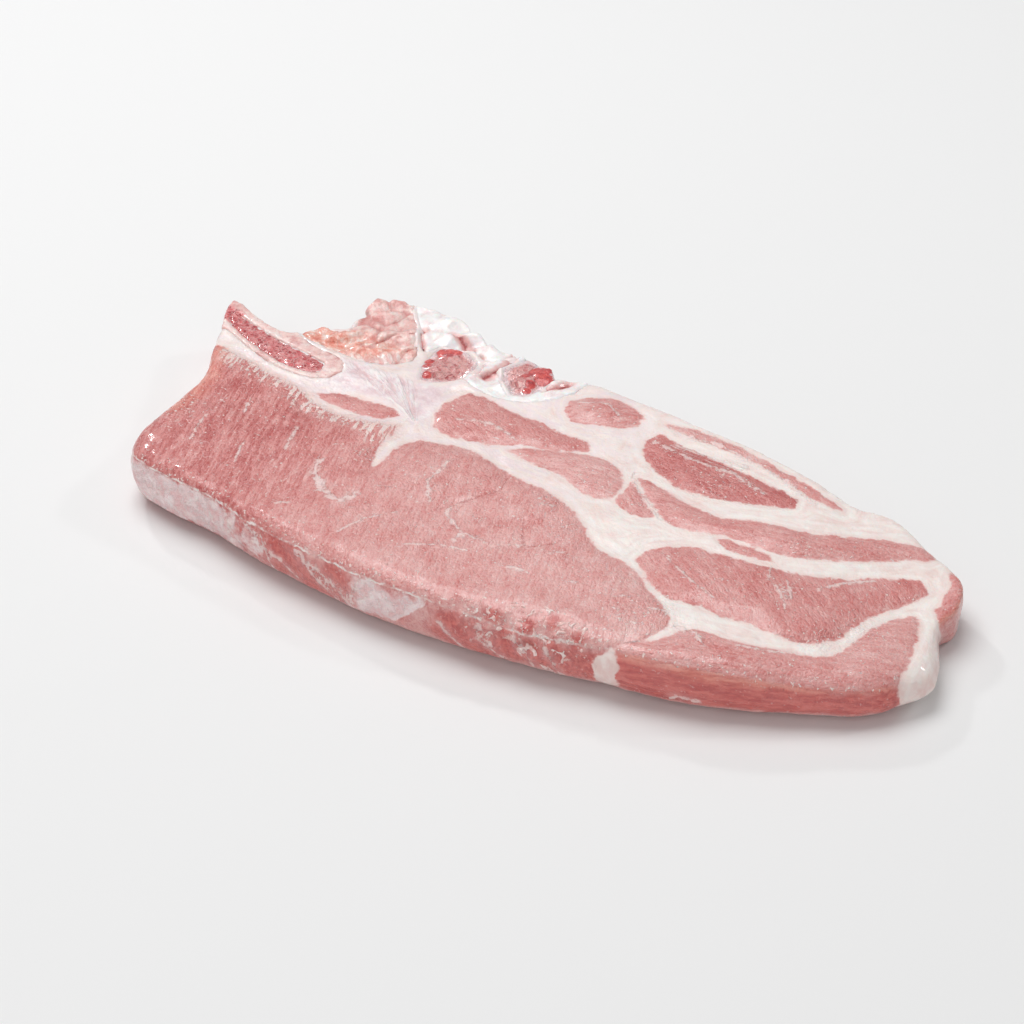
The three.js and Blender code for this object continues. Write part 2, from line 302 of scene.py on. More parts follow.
# Which muscle each point of the skin is nearest to, and how far it is from the fat's border
sections = {name: plan_lines(name, section_height_mm) for name in all_nodes}
signed = {}
for name, lines in sections.items():
    away, within = distance_to_lines(points[:, :2], lines)
    signed[name] = np.where(within, away, -away)
owners = np.array([signed[name] for name in all_nodes]).argmax(0)
muscle_names = list(muscles)
lean_depth = np.full(len(points), -50.0)
nearest_muscle = np.zeros(len(points), int)
for index, name in enumerate(muscle_names):
    lines = sections[name]
    middles = (lines[:, :2] + lines[:, 2:]) / 2
    others = np.concatenate([sections[other] for other in all_nodes if other != name])
    at_seam = distance_to_lines(middles, others)[0] < 2 * node_gap_mm
    away = distance_to_lines(points[:, :2], lines[at_seam])[0]
    depth = np.where(owners == all_nodes.index(name), away, -away)
    nearest_muscle = np.where(depth > lean_depth, index, nearest_muscle)
    lean_depth = np.maximum(lean_depth, depth)
on_face = smooth_step(0.3, 0.8, np.abs(normals[:, 2]))
flap_seam = smooth_step(43, 46, x) * smooth_step(58, 54, x)
flap_seam *= smooth_step(-24.5, -27.5, y)
lean_depth = lean_depth + 1.9 * flap_seam * on_face
web_depth = signed["rib_cartilage"]
inlaid_depth = np.array([signed[name] for name in inlaid_nodes]).max(0)
flesh_depth = np.array([signed[name] for name in flesh_nodes]).max(0)
tones, grain_degrees = np.array(list(muscles.values())).T
tone = tones[nearest_muscle]
turns = np.radians(grain_degrees)[nearest_muscle]
grain = np.stack([np.cos(turns), np.sin(turns), np.zeros(len(points))], 1)

# The loin is darker and more fibrous towards the rib end and paler towards the flap
is_loin = nearest_muscle == muscle_names.index("loin_eye")
fibrous = np.where(is_loin, smooth_step(-20, -62, x), 0.0)
tone = tone + 0.32 * fibrous
tone -= np.where(is_loin, 0.08 * smooth_step(-20, 40, x), 0)

# How far a point has turned from a cut face to the side of the slice
wall = smooth_step(0.75, 0.35, np.abs(normals[:, 2]))
wall = neighbour_mean(flesh_mesh, wall, 6)
front = smooth_step(-7, -15, y) * (normals[:, 1] < 0.2)
front = neighbour_mean(flesh_mesh, front, 3)

# How far a point lies inside the front edge and inside the left edge of the slice
stations = np.arange(-110, 111)
front_edge = [points[np.abs(x - at) < 1.5, 1].min() for at in stations]
in_front = y - np.interp(x, stations, front_edge)
rows = np.arange(-34, 30)
left_edge = [points[np.abs(y - at) < 1.5, 0].min() for at in rows]
in_left = x - np.interp(y, rows, left_edge)

# Torn fringe of pale fibres below the rib, and pale wisps and creases seen in the cut face
fringe = smooth_step(9.0, 1.5, lean_depth) * smooth_step(-12, -4, y)
fringe *= smooth_step(-99, -92, x) * smooth_step(-30, -42, x)
fringe *= is_loin
pale_traces = [
    (2.2, [(-43.0, -22.0), (-41.5, -24.8), (-38.5, -27.6), (-35.4, -29.6)]),
    (2.0, [(-34.2, -30.0), (-31.8, -30.9), (-29.4, -30.8), (-28.6, -28.6)]),
    (1.0, [(-17.5, -4.8), (-16.5, -9.8), (-17, -13.8), (-14.5, -16.3), (-12.5, -18.8)]),
    (1.2, [(-6.3, -19.8), (-5.5, -21.8), (-3.0, -23.2), (1.6, -25.4), (1.8, -27.6)]),
    (0.8, [(1.6, -25.4), (7.5, -25.8)]),
    (1.0, [(-74.5, -9.8), (-72.5, -13.8)]),
    (0.9, [(-78.5, -21.8), (-77.3, -26), (-75.5, -29.8)]),
    (0.9, [(-56.5, -13.8), (-55.2, -17), (-53.5, -20.8)]),
    (0.7, [(-63.5, -25), (-61.0, -31)]),
    (0.7, [(-22.0, -40.0), (-20.0, -33.0), (-16.0, -28.0)]),
    (0.6, [(-6.0, -36.0), (0.0, -32.0), (6.0, -30.5)]),
    (0.6, [(42.6, -6.8), (48.1, -9.4), (54.5, -12.7), (60.7, -14.6)]),
    (0.8, [(66.0, 1.5), (68.1, -2.8), (72.1, -4.8), (75.9, -9.2)]),
    (0.7, [(71.5, -0.8), (74.5, -4.8)]),
    (1.1, [(78.7, 2.4), (81.5, 7.6), (85.0, 11.9)]),
    (0.9, [(21.5, 15.2), (23.5, 12.2), (28.5, 8.2), (35.5, 4.0)]),
    (1.3, [(21.5, 35.2), (31.5, 36.2), (41.5, 34.2), (51.5, 32.2), (61.5, 27.7)]),
    (1.2, [(19.6, 29.0), (30.2, 27.0), (40.5, 28.0), (50.1, 24.5)]),
    (0.8, [(24.0, 31.0), (33.0, 30.6), (42.0, 31.0)]),
    (1.0, [(-26.0, 12.0), (-18.0, 14.0), (-11.0, 12.5)]),
    (0.9, [(-4.5, 33.0), (1.0, 35.5), (6.0, 33.0)]),
    (1.2, [(60.0, -27.0), (64.0, -26.6), (66.5, -28.5)]),
    (0.9, [(74.0, -24.5), (78.0, -22.8), (82.5, -20.0)]),
    (1.1, [(11.0, -7.0), (12.2, -6.4)]),
    (1.1, [(24.2, -20.6), (25.4, -20.1)]),
    (1.0, [(19.0, -30.4), (20.4, -30.0)]),
    (0.9, [(31.6, -28.0), (32.8, -27.4)]),
    (1.0, [(14.2, -23.0), (15.4, -22.4)]),
    (0.9, [(53.0, -24.8), (54.4, -24.2)]),
    (0.9, [(44.2, -26.0), (45.4, -25.2)]),
    (0.9, [(-24.8, -21.4), (-23.4, -21.0)]),
    (1.1, [(-41.4, -39.0), (-40.2, -38.2)]),
]
crease_traces = [
    (1.0, [(-9.8, 4.2), (-5.0, 0.6), (-2.0, -3.0), (-0.5, -7.4), (-4.0, -13.5), (-8.0, -20.4)]),
    (1.0, [(10.5, -14.0), (16.5, -22.8), (21.5, -17.8)]),
    (1.4, [(-70.1, -1.1), (-64.2, -4.0), (-59.4, -7.3)]),
    (1.5, [(-33.4, 1.6), (-34.6, -1.8)]),
    (1.0, [(76.0, -20.0), (84.0, -14.0), (90.0, -6.0)]),
]
wall_traces = [
    (1.2, [(-46.5, 14.0), (-45.1, 12.6), (-39.2, 11.2), (-37.2, 8.0), (-36.6, 4.2), (-34.5, 1.0)]),
    (1.6, [(-32.4, 14.4), (-27.6, 11.8), (-21.5, 10.0), (-15.6, 8.0), (-11.8, 4.4), (-9.0, 1.0)]),
    (1.2, [(-29.0, 13.6), (-22.0, 8.2), (-17.0, 4.6), (-13.0, 1.0)]),
    (1.2, [(-52.0, 13.0), (-49.5, 9.5), (-50.5, 5.0), (-47.0, 1.5)]),
    (1.0, [(-58.5, 13.0), (-56.0, 7.5), (-57.5, 3.0)]),
    (0.8, [(-41.5, 9.6), (-33.0, 8.4), (-27.0, 4.0), (-22.5, 1.0)]),
    (1.2, [(-9.5, 13.0), (-11.5, 8.0), (-10.6, 3.5)]),
    (0.8, [(12.0, 9.0), (16.0, 5.0), (20.0, 2.6)]),
    (1.6, [(22.0, 12.8), (21.0, 9.6), (24.0, 8.4)]),
    (1.2, [(24.0, 7.4), (27.0, 4.4), (31.0, 3.0)]),
    (1.0, [(29.0, 11.6), (33.5, 7.6), (34.5, 3.0)]),
    (1.0, [(36.0, 12.2), (38.4, 8.0), (41.0, 3.6), (42.0, 1.0)]),
    (1.0, [(64.6, 4.2), (66.0, 5.4), (69.5, 5.0)]),
]


def nearest_trace(places, traces):
    """Signed distance to the nearest traced line over its weight, and the same unsigned."""
    side, near = np.full(len(places), 50.0), np.full(len(places), 50.0)
    for weight, trace in traces:
        for (x0, y0), (x1, y1) in zip(trace, trace[1:]):
            along = np.array([x1 - x0, y1 - y0])
            length = np.linalg.norm(along)
            offset = places - (x0, y0)
            share = np.clip(offset @ along / length**2, 0, 1)
            away = np.linalg.norm(offset - share[:, None] * along, axis=1) / weight
            across = (along[0] * offset[:, 1] - along[1] * offset[:, 0]) / length / weight
            side = np.where(away < near, across, side)
            near = np.minimum(near, away)
    return side, near


on_side = (wall > 0.45) & (front > 0.5)
on_top = (wall < 0.6) & (z > 6)
pale_side, pale_near = nearest_trace(points[:, :2], pale_traces)
strand_side, strand_near = nearest_trace(points[:, ::2], wall_traces)
pale_side = np.where(on_side, strand_side, np.where(on_top, pale_side, 50.0))
pale_near = np.where(on_side, strand_near, np.where(on_top, pale_near, 50.0))
crease_side, crease_near = nearest_trace(points[:, :2], crease_traces)
crease_near = np.where(on_top & ~on_side, crease_near, 50.0)

# Outer side: pearly membrane on the left, red torn muscle, a smooth red flap on the right
skin = profile(
    x, (-104, 0.2), (-96, 0.6), (-86, 1.2), (-60, 1.1), (-46, 0.5), (-30, 0.1), (-12, 0.2),
    (-8, 0.95), (6, 0.85), (10, 0),
)
skin_floor = profile(x, (-12, 0), (-8, 4), (0, 5.5), (9, 13), (12, 0))
skin = skin * smooth_step(-0.8, 0.8, z - skin_floor)
strip = profile(x, (-60, 0), (-46, 0.6), (14, 0.6), (24, 0)) * smooth_step(4.5, 1.5, z)
skin = np.maximum(skin, strip) * wall * front
blood = profile(
    x, (-110, 0.3), (-88, 0.25), (-56, 0.2), (-46, 0.8), (-38, 1.25), (-28, 1.2), (-14, 1.0),
    (-9, 0.2), (7, 0.25), (12, 1.0), (20, 1.25), (34, 1.2), (46, 1.0), (55, 1.35), (60, 1.35),
    (75, 1.4), (100, 1.3), (108, 0.8),
)
blood = blood * wall * front
at_backbone = smooth_step(-17, -13, x) * smooth_step(0, -4, x) * smooth_step(38.5, 40, y)
blood += at_backbone * smooth_step(8, 12, z)
blood_pockets = [
    (31.8, -43.3, 12.9, 2.2), (37.0, -40.0, 14.5, 2.0), (43.7, -41.2, 12.6, 2.6),
    (24.1, -44.3, 13.2, 3.0), (27.0, -45.4, 11.1, 2.2), (22.5, -46.3, 4.6, 3.2),
]
for x0, y0, z0, radius in blood_pockets:
    distance = np.linalg.norm(points - (x0, y0, z0), axis=1)
    blood = np.maximum(blood, 1.15 * np.exp(-((distance / radius) ** 2)))
top_height = profile(x, (-110, 15), (45, 15), (92, 11.4), (111, 10.8))
amber = profile(
    x, (-104, 0.9), (-96, 0.7), (-84, 0), (8, 0), (14, 0.35), (48, 0.3), (56, 1), (104, 1),
    (110, 0.2),
)
amber = amber * smooth_step(0.05, 0.4, wall) * smooth_step(4.0, 0.8, top_height - z)
amber += 0.8 * smooth_step(-86, -93, x) * smooth_step(0.1, 0.6, wall)
at_left_rim = smooth_step(10.5, 2.5, in_left) * smooth_step(-30, -20, y) * smooth_step(26, 20, y)
amber = np.maximum(amber, at_left_rim)
# Along the front edge, where a bright line is painted: pale torn tissue with a painted highlight on
# the edge
rim_line = profile(x, (-100, 0), (-92, 1), (6, 1), (14, 0.3), (20, 0.8), (40, 0.8), (48, 0)) * front
rim_line = rim_line * (z > 8)
torn = profile(x, (8, 0), (18, 1), (44, 1), (50, 0))
torn = torn * smooth_step(6.5, 2.0, in_front) * smooth_step(5, 10, z)
# Wet places: lower roughness and finer ripples there, and more of the pale flecks painted as glints
glinty = np.maximum(0.9 * smooth_step(0.1, 0.6, fringe), 0.9 * torn)
glinty = np.maximum(glinty, 0.7 * smooth_step(6, 2, in_front) * smooth_step(5, 8, z))
glinty *= 1 - smooth_step(0.25, 0.5, wall) * profile(x, (-48, 1), (-44, 0.6), (42, 0.6), (46, 1))
wet_patches = [
    (52.9, -24.5, 5), (48, -30, 4), (46, -40, 3), (10.5, -4.8, 3),
    (19.8, -11.6, 3), (40, 24, 8), (67.8, 11.7, 3), (-36, -12.8, 4),
    (-88, -20, 6), (92, -4, 6), (86, -13, 5),
]
for x0, y0, radius in wet_patches:
    glinty = np.maximum(glinty, np.exp(-(((x - x0) ** 2 + (y - y0) ** 2) / radius**2)))

# The muscles stand a little proud of the fat, the torn side is dented, and bones lie bedded
face_share = 1 - wall
crown = crown_mm * (1 - np.exp(-((np.maximum(lean_depth, 0) / 2.5) ** 2)))
groove = -seam_groove_mm * np.exp(-((lean_depth / 0.9) ** 2))
relief = (crown + groove) * face_share
relief += 0.22 * lumps(points, 9.0) * face_share
relief += 0.1 * lumps(points, 2.2, seed=5) * face_share
relief += 0.14 * fringe * lumps(points, 1.3, seed=8) * face_share
relief -= crease_depth_mm * np.exp(-((crease_near / 0.9) ** 2)) * face_share
relief += 0.12 * np.exp(-((pale_near / 0.8) ** 2))
relief += (0.4 * lumps(points, 8.0, seed=9) + 0.15 * lumps(points, 2.5, seed=2)) * wall
dents = torn_dent_mm * lumps(points, 4.2, 3, seed=4) + 0.45 * lumps(points, 1.6, 2, seed=6)
relief += torn * dents
inlaid_depth = inlaid_depth + 1.3 * wall * smooth_step(-0.5, 0.5, inlaid_depth - flesh_depth)
bedded = smooth_step(0.1, 0.8, inlaid_depth)
relief = relief * (1 - bedded) - 0.5 * bedded
relief -= sunk_below_inlays_mm * smooth_step(0.6, 2.4, inlaid_depth)
from_tip = np.hypot(x - rib_tip_mm[0], y - rib_tip_mm[1])
relief -= sunk_at_rib_tip_mm * smooth_step(2.6, 1.2, from_tip) * smooth_step(9, 13, z)
moved = points + normals * relief[:, None]
resting = (z < resting_height_mm) & (bedded < 0.05)
moved[:, 2] = np.where(resting, z, np.maximum(moved[:, 2], 0))
put_points(flesh_mesh, moved)

for label, values in (
    ("lean", lean_depth),
    ("web", web_depth),
    ("tone", neighbour_mean(flesh_mesh, tone, 3)),
    ("grain", grain),
    ("fibrous", neighbour_mean(flesh_mesh, fibrous, 2)),
    ("fringe", neighbour_mean(flesh_mesh, fringe, 2)),
    ("wall", wall),
    ("skin", skin),
    ("blood", blood),
    ("amber", amber),
    ("rim_line", rim_line),
    ("torn", torn),
    ("glinty", glinty),
    ("pale_side", pale_side),
    ("pale_near", pale_near),
    ("crease_side", crease_side),
    ("crease_near", crease_near),
):
    keep_values(flesh_mesh, label, values)


def linear(red, green, blue):
    """A colour given as screen values from 0 to 255, as Blender's light values."""
    channels = [v / 255 for v in (red, green, blue)]
    return (*[v / 12.92 if v <= 0.04045 else ((v + 0.055) / 1.055) ** 2.4 for v in channels], 1)


class Value:
    """An output of a shader node. Sums on it are laid out as math nodes."""

    def __init__(self, socket):
        self.socket = socket
        self.tree = socket.id_data

    def __add__(self, other):
        return math_node("ADD", self, other)

    def __sub__(self, other):
        return math_node("SUBTRACT", self, other)

    def __mul__(self, other):
        return math_node("MULTIPLY", self, other)

    def __truediv__(self, other):
        return math_node("DIVIDE", self, other)

    def __abs__(self):
        return math_node("ABSOLUTE", self)


class Outputs:
    """A shader node whose outputs are taken as values, by name or number."""

    def __init__(self, node):
        self.node = node

    def __getitem__(self, key):
        return Value(self.node.outputs[key])


def feed(socket, value):
    """Link a value to this input, or set a constant on it."""
    if isinstance(value, Value):
        value.tree.links.new(value.socket, socket)
    else:
        socket.default_value = value


def add_node(tree, kind, inputs=None, **settings):
    made = tree.nodes.new(kind)
    for key, value in settings.items():
        setattr(made, key, value)
    for key, value in (inputs or {}).items():
        feed(made.inputs[key], value)
    return Outputs(made)


def math_node(operation, a, b=0.0):
    return add_node(a.tree, "ShaderNodeMath", {0: a, 1: b}, operation=operation)[0]


def vector_math(operation, a, b=(0, 0, 0)):
    return add_node(a.tree, "ShaderNodeVectorMath", {0: a, 1: b}, operation=operation)


def vector_of(tree, x=0.0, y=0.0, z=0.0):
    return add_node(tree, "ShaderNodeCombineXYZ", {0: x, 1: y, 2: z})[0]


def between(value, low, high, start=0.0, end=1.0):
    """The value eased from start to end as it goes from low to high."""
    inputs = {"Value": value, "From Min": low, "From Max": high, "To Min": start, "To Max": end}
    return add_node(value.tree, "ShaderNodeMapRange", inputs, interpolation_type="SMOOTHSTEP")[0]


def mix_colour(share, *colours):
    """Two colours mixed, each one a value or a screen colour from 0 to 255."""
    first, second = [linear(*c) if isinstance(c, tuple) else c for c in colours]
    inputs = {0: share, 6: first, 7: second}
    return add_node(share.tree, "ShaderNodeMix", inputs, data_type="RGBA")[2]


def noise_value(vector, scale, detail=2.0, rough=0.5):
    inputs = {"Vector": vector, "Scale": scale, "Detail": detail, "Roughness": rough}
    return add_node(vector.tree, "ShaderNodeTexNoise", inputs)["Fac"]


def stored(tree, name, output="Fac"):
    return add_node(tree, "ShaderNodeAttribute", attribute_name=name)[output]


def millimetres(tree):
    """The piece's own coordinates in millimetres."""
    place = add_node(tree, "ShaderNodeTexCoord")["Object"]
    return vector_math("MULTIPLY", place, (1000, 1000, 1000))[0]


def bent(point, scale, along):
    """The second vector moved about by soft noise at the point."""
    inputs = {"Vector": point, "Scale": scale, "Detail": 2.0}
    return vector_math("ADD", add_node(point.tree, "ShaderNodeTexNoise", inputs)["Color"], along)[0]


def cell_values(place, scale):
    """Random cells: each point's distance to its cell's edge, and the cell's own number."""
    inputs = {"Vector": place, "Scale": scale}
    edge = add_node(place.tree, "ShaderNodeTexVoronoi", inputs, feature="DISTANCE_TO_EDGE")
    cell = add_node(place.tree, "ShaderNodeTexVoronoi", inputs)
    split = add_node(place.tree, "ShaderNodeSeparateColor", {0: cell["Color"]})
    return edge["Distance"], split[0]


def fanned_fibres(angle, radius, spokes, detail):
    """Fibres that fan out from a corner, by each point's angle and distance to it."""
    fan = vector_of(angle.tree, angle * spokes, radius * 0.1)
    return between(noise_value(fan, 1.0, detail, 0.6), 0.36, 0.64)


def new_group(name, inputs):
    """A new node group whose inputs are (label, kind) pairs, and these inputs as values."""
    group = bpy.data.node_groups.new(name, "ShaderNodeTree")
    for label, kind in inputs:
        group.interface.new_socket(label, in_out="INPUT", socket_type=kind)
    given = Outputs(group.nodes.new("NodeGroupInput"))
    return group, [given[label] for label, _ in inputs]


def finish_group(group, results):
    """Put out each of these values from the group, under its label."""
    for label in results:
        group.interface.new_socket(label, in_out="OUTPUT", socket_type="NodeSocketFloat")
    end = group.nodes.new("NodeGroupOutput")
    for label, value in results.items():
        feed(end.inputs[label], value)
    return group


def muscle_fibre_group():
    """Streaks, bundles and mottling of cut muscle, drawn out along the grain."""
    tree, (point, along) = new_group(
        "muscle fibre", [("Point", "NodeSocketVector"), ("Grain", "NodeSocketVector")]
    )
    across = vector_math("CROSS_PRODUCT", along, vector_of(tree, z=1.0))[0]
    u = vector_math("DOT_PRODUCT", point, along)["Value"]
    v = vector_math("DOT_PRODUCT", point, across)["Value"]
    level = add_node(tree, "ShaderNodeSeparateXYZ", {0: point})["Z"]
    long_drawn, drawn = [
        bent(point, 0.35, vector_of(tree, u * stretch, v, level)) for stretch in (0.12, 0.6)
    ]
    streaks = between(noise_value(long_drawn, 1.0, 2.0, 0.5), 0.34, 0.66)
    edges, bundles = cell_values(drawn, 1.2)
    fine = between(noise_value(point, 2.0, 2.0, 0.65), 0.3, 0.7)
    wisps = between(abs(noise_value(drawn, 0.16, 2.0, 0.45) - 0.5), 0.0, 0.01, 1.0, 0.0)
    wisps *= between(noise_value(point, 0.22, 2.0), 0.5, 0.62)
    shifted = vector_math("ADD", point, (37.0, 19.0, 0.0))[0]
    results = {
        "Streaks": streaks,
        "Edges": edges,
        "Bundles": bundles,
        "Mottle": noise_value(point, 0.13, 3.0, 0.55),
        "Fine": fine,
        "Wisps": wisps,
        "Flecks": noise_value(shifted, 1.15, 1.5, 0.6),
        "Height": between(edges, 0.0, 0.35, 0.0, 0.09) + streaks * 0.06 + fine * 0.04,
    }
    return finish_group(tree, results)


def place_group(tree, group, inputs):
    return add_node(tree, "ShaderNodeGroup", inputs, node_tree=group)


def colour_ramp(value, stops):
    """The value turned into a colour through these (position, screen colour) stops."""
    ramp = add_node(value.tree, "ShaderNodeValToRGB", {"Fac": value})
    elements = ramp.node.color_ramp.elements
    for element, (position, colour) in zip(elements, (stops[0], stops[-1])):
        element.position, element.color = position, linear(*colour)
    for position, colour in stops[1:-1]:
        elements.new(position).color = linear(*colour)
    return ramp["Color"]


def thin_line(label, point, widest):
    """A wavering thin line along the nearest traced line, broken here and there."""
    waver = noise_value(point, 0.8, 4.0, 0.7) * 2.4 - 1.2
    off = abs(stored(point.tree, label + "_side") + waver)
    width = between(noise_value(point, 0.6, 2.0), 0.38, 0.62, 0.08, widest)
    inside = between(off / width, 0.3, 1.6, 1.0, 0.0)
    gate = between(stored(point.tree, label + "_near"), 1.0, 1.9, 1.0, 0.0)
    return inside * gate


def wet_material(name, scatter=0.2, coat=0.35, coat_roughness=0.14):
    """A moist, slightly translucent material, with its node tree and its shader."""
    made = bpy.data.materials.new(name)
    made.use_nodes = True
    made_shader = made.node_tree.nodes["Principled BSDF"]
    looks = {
        "Roughness": 0.4,
        "Subsurface Weight": scatter,
        "Subsurface Radius": (1.0, 0.4, 0.3),
        "Subsurface Scale": 0.0015,
        "Coat Weight": coat,
        "Coat Roughness": coat_roughness,
    }
    for label, value in looks.items():
        made_shader.inputs[label].default_value = value
    return made, made.node_tree, made_shader


def finish_wet(shader, colour, height, roughness=None):
    """Give the wet shader its colour, its relief and, if it varies, its roughness."""
    feed(shader.inputs["Base Color"], colour)
    inputs = {"Strength": 1.0, "Distance": 0.001, "Height": height}
    feed(shader.inputs["Normal"], add_node(height.tree, "ShaderNodeBump", inputs)[0])
    if roughness is not None:
        feed(shader.inputs["Roughness"], roughness)


muscle_fibre = muscle_fibre_group()


def flesh_material():
    material, tree, shader = wet_material("raw pork flesh", coat=0.45, coat_roughness=0.12)
    point = millimetres(tree)
    fibre = place_group(
        tree, muscle_fibre, {"Point": point, "Grain": stored(tree, "grain", "Vector")}
    )
    labels = ("lean", "wall", "fringe", "blood", "amber", "glinty")
    lean, wall, fringe, blood, amber, glinty = (stored(tree, label) for label in labels)

    # Border between muscle and fat, wavering and feathered along the fibres
    waver = noise_value(point, 0.3, 3.0, 0.6) * 2.6 - 1.3
    reach = between(fringe, 0.0, 1.0, 0.2, 2.2)
    feather = (fibre["Streaks"] - 0.5) * reach
    depth = lean + waver + feather - fringe * 0.8
    lean_share = between(depth, -0.35, 0.35)
    sure_lean = between(lean, 0.2, 1.0)

    # Muscle: dark and pale fibres, bundles and a pale web between them
    contrast = between(stored(tree, "fibrous"), 0.0, 1.0, 0.14, 0.36)
    shade = fibre["Mottle"] * 0.7 - 0.35 + stored(tree, "tone")
    shade += (fibre["Streaks"] - 0.5) * contrast
    shade += (fibre["Bundles"] - 0.5) * 0.14
    shade += (fibre["Fine"] - 0.5) * 0.17
    muscle = colour_ramp(shade, lean_colours)
    seam = between(fibre["Edges"], 0.0, 0.12, 0.14, 0.0)
    muscle = mix_colour(seam, muscle, (238, 205, 200))
    muscle = mix_colour(fibre["Wisps"] * 0.35, muscle, (244, 218, 213))
    strands = between(fibre["Streaks"] + fringe * 0.4, 0.62, 1.05)
    strands *= between(fringe, 0.02, 0.5, 0.0, 0.9)
    muscle = mix_colour(strands, muscle, (248, 224, 218))

    # Outer side of the slice, where the blood shows and the rims dry to amber
    redness = blood + (fibre["Mottle"] - 0.5) * 1.6
    redness = between(redness, 0.1, 1.1) * between(blood, 0.02, 0.2)
    deep = colour_ramp(fibre["Streaks"], bloody_colours)
    muscle = mix_colour(redness * 0.85, muscle, deep)
    dry = amber + (fibre["Mottle"] - 0.5) * 1.2
    dry = between(dry, 0.15, 1.0) * between(amber, 0.02, 0.25)
    dried = colour_ramp(fibre["Streaks"], dried_colours)
    muscle = mix_colour(dry * 0.55, muscle, dried)

    # Fat, with faint bands that follow the borders of the muscles
    split_x = add_node(tree, "ShaderNodeSeparateXYZ", {0: point})["X"]
    spread = vector_math("MULTIPLY", point, (0.12, 0.12, 0.12))[0]
    flow = vector_math("ADD", spread, vector_of(tree, z=lean * 0.7))[0]
    bands = noise_value(flow, 1.0, 3.0, 0.6)
    cloud = noise_value(point, 0.3, 4.0, 0.6)
    milky = bands * 0.6 + cloud * 0.4
    fat = colour_ramp(milky, fat_colours)
    lilac = between(bands, 0.42, 0.6) * between(split_x, 30.0, 0.0, 0.0, 0.55)
    fat = mix_colour(lilac, fat, (236, 214, 220))
    near_meat = between(lean + waver, -1.4, 0.4, 0.0, 0.5)
    fat = mix_colour(near_meat, fat, (236, 202, 196))
    tinted = wall * between(cloud, 0.35, 0.62, 0.85, 0.35)
    fat = mix_colour(tinted, fat, (232, 198, 192))
    colour = mix_colour(lean_share, fat, muscle)

    # Web of gristle beside the rib, with fibres that run together at its lower corner
    corner = vector_math("SUBTRACT", point, web_corner_mm)[0]
    split = add_node(tree, "ShaderNodeSeparateXYZ", {0: corner})
    angle = math_node("ARCTAN2", split["Y"], split["X"])
    radius = vector_math("LENGTH", corner)["Value"]
    rays = fanned_fibres(angle, radius, 9.0, 4.0)
    gristle = colour_ramp(cloud, web_colours)
    stranded = between(angle, 2.1, 2.4) * between(angle, 2.95, 2.7)
    stranded *= between(radius, 6.0, 18.0)
    bright = between(rays, 0.6, 0.95, 0.0, 0.8) * stranded
    gristle = mix_colour(bright, gristle, (251, 242, 240))
    dusky = between(rays, 0.35, 0.05, 0.0, 0.5) * stranded
    gristle = mix_colour(dusky, gristle, (228, 186, 186))
    web_share = between(stored(tree, "web") + waver, -1.2, 1.0)
    colour = mix_colour(web_share, colour, gristle)

    # Pearly membrane with painted highlights on its wrinkles, pale wisps, a bright line on the
    # front edge of pale torn tissue and painted highlight, and painted shade along the creases
    skin_edge = noise_value(point, 0.3, 4.0, 0.65) * 1.6 - 0.8
    skin_share = between(stored(tree, "skin") + skin_edge, 0.25, 0.75, 0.0, 0.88)
    skin_share *= between(stored(tree, "skin"), 0.05, 0.3)
    skin = colour_ramp(cloud, membrane_colours)
    colour = mix_colour(skin_share, colour, skin)
    # Fine ridges on the membrane: pink lines on one set, and white lines on the other as painted
    # highlights on the fold ridges
    wrinkles = []
    for size, thinness in ((0.3, 0.02), (0.17, 0.016)):
        ridge = noise_value(point, size, 3.0, 0.6) - 0.5
        ridge = between(abs(ridge), 0.0, thinness, 1.0, 0.0)
        wrinkles.append(ridge * skin_share)
    colour = mix_colour(wrinkles[1] * 0.4, colour, (224, 158, 160))
    colour = mix_colour(wrinkles[0] * 0.6, colour, (254, 245, 244))
    halo = between(stored(tree, "pale_near"), 0.3, 2.2, 0.18, 0.0) * wall
    colour = mix_colour(halo, colour, (240, 206, 204))
    pale = thin_line("pale", point, 0.6)
    colour = mix_colour(pale * 0.68, colour, (247, 226, 222))
    # A bright line painted where the top turns into the front side: pale torn tissue, and a painted
    # highlight on the edge
    rim_wave = noise_value(point, 0.5, 3.0) * 0.5 - 0.25
    torn_rim_and_highlight = between(abs(wall - 0.32 + rim_wave), 0.03, 0.13, 1.0, 0.0)
    torn_rim_and_highlight *= stored(tree, "rim_line")
    torn_rim_and_highlight *= between(noise_value(point, 0.35, 3.0), 0.4, 0.56, 0.15, 0.95)
    colour = mix_colour(torn_rim_and_highlight, colour, (250, 236, 232))
    shreds = between(noise_value(point, 0.45, 4.0, 0.7), 0.56, 0.68) * stored(tree, "torn")
    colour = mix_colour(shreds * 0.75, colour, (246, 220, 212))
    # Dark red painted along the traced creases, as painted shade in them
    open_to = math_node("MAXIMUM", lean_share, between(radius, 3.0, 5.0, 1.0, 0.0))
    crease = thin_line("crease", point, 0.35) * open_to
    colour = mix_colour(crease * 0.5, colour, (180, 92, 88))

    # Pale flecks painted on the muscle: painted glints of the wet surface, and flecks of fat,
    # thicker where the meat is torn or wet
    rarity = between(glinty, 0.0, 1.0, 0.652, 0.585)
    fat_fleck_and_glint = between(fibre["Flecks"] - rarity, 0.0, 0.07) * lean_share
    fat_fleck_and_glint *= between(wall, 0.3, 0.7, 1.0, 0.3)
    colour = mix_colour(fat_fleck_and_glint * 0.68, colour, (253, 240, 235))

